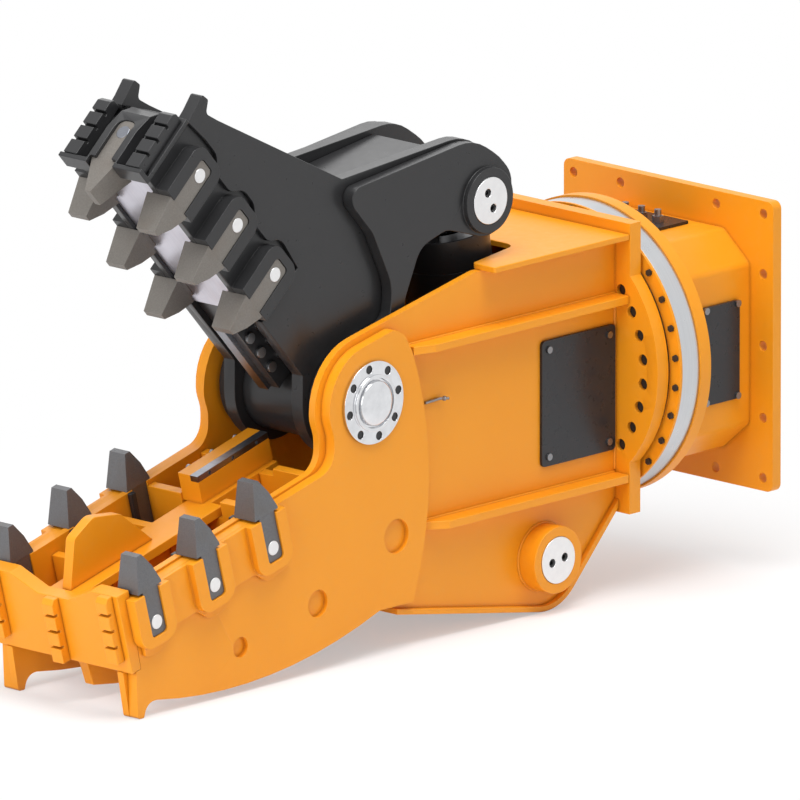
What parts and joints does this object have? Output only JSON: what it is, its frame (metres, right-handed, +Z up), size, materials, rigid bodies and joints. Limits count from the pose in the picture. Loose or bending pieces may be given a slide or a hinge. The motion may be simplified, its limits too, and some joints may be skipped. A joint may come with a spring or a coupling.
{
  "type": "concrete crusher",
  "caption": "Rotating hydraulic concrete crusher for an excavator, with a toothed moving jaw, shear blades, a slewing ring and a bolt-on mounting plate.",
  "frame": {"origin": "centre of the mounting plate's rear face, on the slewing axis", "axes": "+X out of the mounting face towards the excavator's arm, the jaws towards -X; +Z up with the moving jaw on top; +Y to the far side"},
  "size_m": [2.2933, 0.764, 1.5148],
  "materials": {
    "orange_paint": "gloss orange-yellow paint",
    "black_paint": "satin black paint",
    "zinc_steel": "zinc plated",
    "bare_steel": "machined",
    "blade_steel": "ground",
    "tooth_steel": "as cast, unpainted",
    "chrome": "polished",
    "bronze": "machined"
  },
  "bodies": {
    "bracket": {"mounting_plate": "orange_paint", "bracket_box": "orange_paint", "bracket_disk": "orange_paint", "bracket_covers": "black_paint", "bracket_cover_screws": "zinc_steel", "slew_motor": "black_paint", "bracket_fittings": "zinc_steel", "swivel_housing": "bare_steel", "outer_race": "bare_steel", "bolt_ring": "orange_paint", "ring_bolts": "zinc_steel"},
    "pinion": {"pinion": "bare_steel"},
    "frame": {"inner_race": "bare_steel", "slew_balls": "bare_steel", "swivel_rotor": "bare_steel", "rear_flange": "orange_paint", "flange_bolts": "zinc_steel", "side_plates": "orange_paint", "top_plate": "orange_paint", "bottom_plate": "orange_paint", "side_ribs": "orange_paint", "cheek_plates": "orange_paint", "main_pin": "bare_steel", "pin_caps": "chrome", "cap_bolts": "zinc_steel", "inspection_covers": "black_paint", "cover_screws": "zinc_steel", "base_pin_bosses": "orange_paint", "base_pin": "bare_steel", "lower_front_plate": "orange_paint", "lower_front_strips": "orange_paint", "centre_rib": "orange_paint", "cross_ribs": "orange_paint", "centre_fin": "orange_paint", "blade_seat": "orange_paint", "lower_blade": "blade_steel", "lower_blade_bolts": "zinc_steel", "lower_wear_plates": "orange_paint", "lower_teeth": "tooth_steel", "lower_tooth_pins": "bare_steel", "tooth_guides": "black_paint"},
    "upper_jaw": {"jaw_plates": "black_paint", "arm_plates": "black_paint", "jaw_bed_plate": "bare_steel", "jaw_top_cover": "black_paint", "pivot_tube": "black_paint", "pivot_bushes": "bronze", "upper_front_plate": "black_paint", "upper_front_strips": "black_paint", "upper_wear_plates": "black_paint", "upper_teeth": "tooth_steel", "front_tooth": "tooth_steel", "upper_tooth_pins": "bare_steel", "blade_holder": "black_paint", "upper_blade": "blade_steel", "upper_blade_bolts": "zinc_steel", "arm_pin": "bare_steel"},
    "barrel": {"cylinder_barrel": "black_paint", "cylinder_gland": "black_paint"},
    "rod": {"piston_rod": "chrome"}
  },
  "joints": [
    {"name": "slew", "type": "hinge", "parent": "bracket", "child": "frame", "pos_m": [-0.38, 0, 0], "axis": [1, 0, 0], "continuous": true},
    {"name": "pinion_spin", "type": "hinge", "parent": "bracket", "child": "pinion", "pos_m": [-0.35, 0, -0.192], "axis": [1, 0, 0], "continuous": true},
    {"name": "jaw", "type": "hinge", "parent": "frame", "child": "upper_jaw", "pos_m": [-1.356, 0, 0.076], "axis": [0, -1, 0], "range_deg": [0, 58]},
    {"name": "barrel_swing", "type": "hinge", "parent": "frame", "child": "barrel", "pos_m": [-0.707, 0, -0.443], "axis": [0, -1, 0], "range_deg": [0, 23.08]},
    {"name": "rod_swing", "type": "hinge", "parent": "upper_jaw", "child": "rod", "pos_m": [-0.879, 0, 0.501], "axis": [0, -1, 0], "range_deg": [-34.92, 0]}
  ],
  "couplings": [
    {"joint": "pinion_spin", "follows": "slew", "ratio": 4.4286},
    {"joint": "barrel_swing", "follows": "jaw", "ratio": 0.398},
    {"joint": "rod_swing", "follows": "jaw", "ratio": -0.602}
  ]
}
